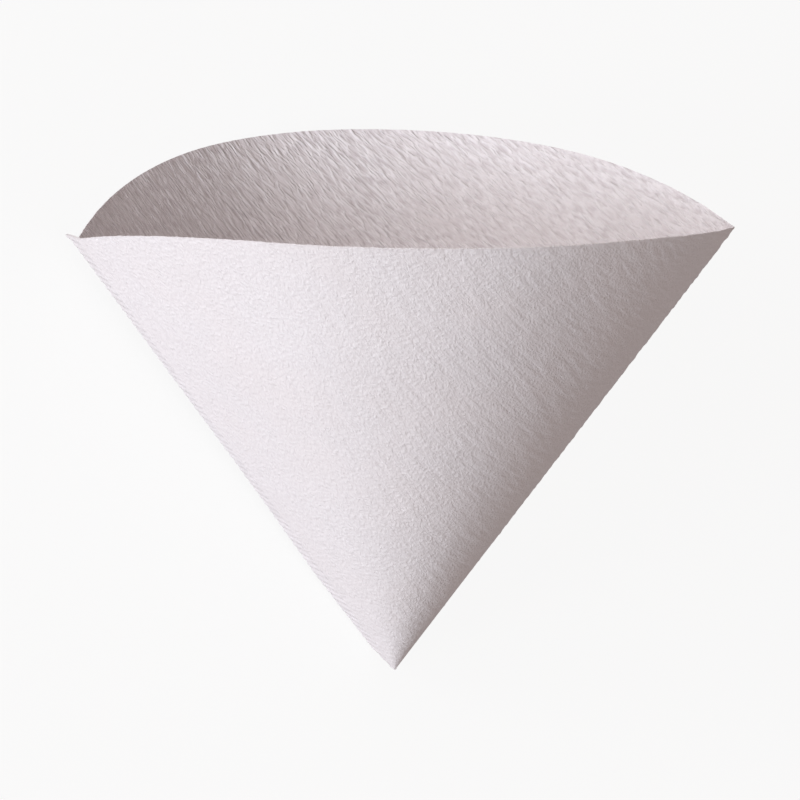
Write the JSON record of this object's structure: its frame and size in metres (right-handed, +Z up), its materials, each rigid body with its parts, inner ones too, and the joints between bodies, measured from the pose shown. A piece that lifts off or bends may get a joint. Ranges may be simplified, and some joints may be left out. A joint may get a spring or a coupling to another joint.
{
  "type": "paper coffee filter",
  "caption": "Cone paper coffee filter, opened out: a sheet folded into a pointed pocket with a lens-shaped mouth and a crimped seam strip.",
  "frame": {"origin": "on the floor, under the middle of the part's bounding box", "axes": "the part lies on the seam's side of its back: +Z up from the floor, +Y from the tip towards the mouth as seen from above, +X towards the folded side, which stands in the air"},
  "size_m": [0.125, 0.1248, 0.1048],
  "materials": {
    "creped_paper": "matte, creped"
  },
  "bodies": {
    "root": {"filter_paper": "creped_paper"}
  },
  "joints": []
}
